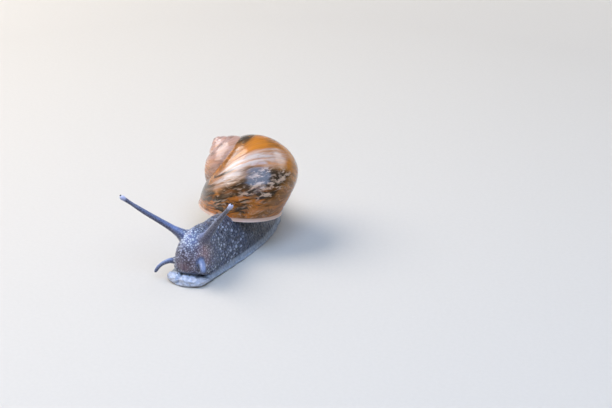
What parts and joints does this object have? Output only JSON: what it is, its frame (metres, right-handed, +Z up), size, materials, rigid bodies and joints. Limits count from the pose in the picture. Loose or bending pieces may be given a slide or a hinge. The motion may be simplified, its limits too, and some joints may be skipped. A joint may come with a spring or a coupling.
{
  "type": "garden snail",
  "caption": "Life-size crawling garden snail with a banded right-handed spiral shell, raised head, stretched feelers and a flat sole.",
  "frame": {"origin": "on the floor, in the middle of the whole snail's bounding box", "axes": "+Z up, -Y towards the head, +Y towards the tail, +X to the snail's left"},
  "size_m": [0.0372, 0.077, 0.03],
  "materials": {
    "skin": "moist living skin, slate grey with pale lilac grains between dark grooves",
    "foot": "moist pale grey-lilac foot and fringe",
    "mantle": "moist smooth olive-grey mantle edge in the mouth of the shell",
    "shell": "glossy shell, caramel ground with dark brown spiral bands broken by cream flecks, pale lip",
    "eye": "small black glossy eye in the tip of the feeler"
  },
  "bodies": {
    "root": {"foot": "foot", "snout": "skin", "head": "skin", "neck": "skin", "trunk": "skin", "tail": "skin", "mantle_collar": "mantle", "eye_stalk_right": "skin", "eye_stalk_left": "skin", "eye_stalk_tip_right": "skin", "eye_stalk_tip_left": "skin", "eye_right": "eye", "eye_left": "eye", "feeler_right": "skin", "feeler_left": "skin", "shell": "shell"}
  },
  "joints": []
}
